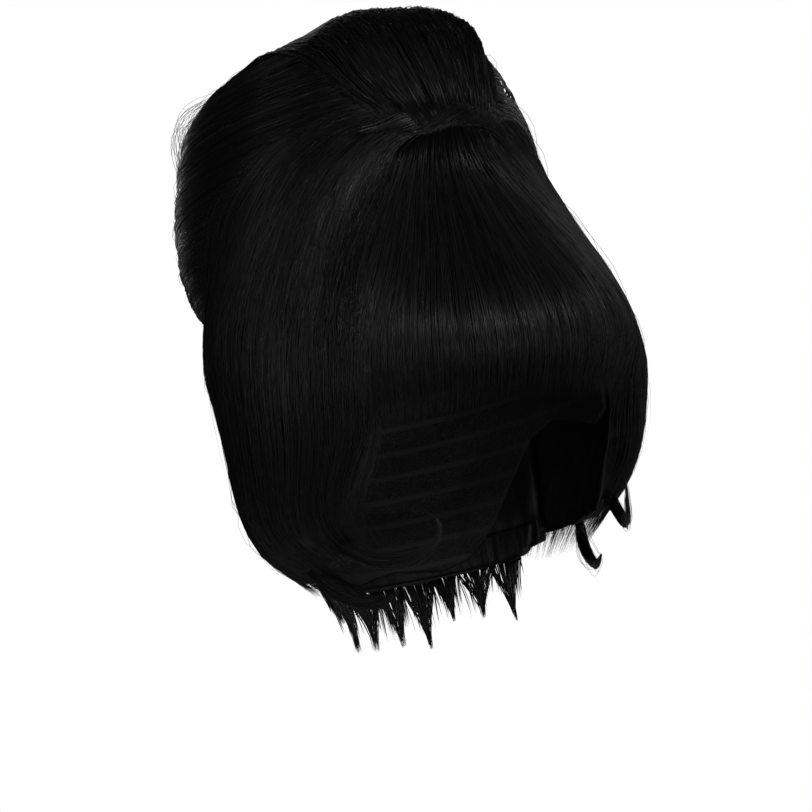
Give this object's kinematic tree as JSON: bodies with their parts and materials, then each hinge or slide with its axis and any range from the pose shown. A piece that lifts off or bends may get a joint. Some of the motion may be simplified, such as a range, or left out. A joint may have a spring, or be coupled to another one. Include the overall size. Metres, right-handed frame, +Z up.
{
  "type": "beehive wig",
  "caption": "Tall two-tier beehive wig with full bangs, cheek curls, jaw flicks and a short pointed nape, on an open cap.",
  "frame": {"origin": "inside top of the cap, where it sits on the crown of the head", "axes": "+Z up through the crown, the face looks along -Y, the wearer's left is +X"},
  "size_m": [0.2024, 0.2382, 0.2926],
  "materials": {
    "hair": "near-black synthetic hair, glossy along the strands",
    "cap_net": "black stretch net with sewn wefts, matt"
  },
  "bodies": {
    "root": {"wig_cap": "cap_net", "fringe": "hair", "side_lock_right": "hair", "side_lock_left": "hair", "back_drape": "hair", "sweep_right": "hair", "sweep_left": "hair", "top_roll": "hair", "front_gather": "hair", "nape_fringe": "hair", "cheek_curl_right": "hair", "cheek_curl_left": "hair", "jaw_flick_right": "hair", "jaw_flick_left": "hair"}
  },
  "joints": []
}
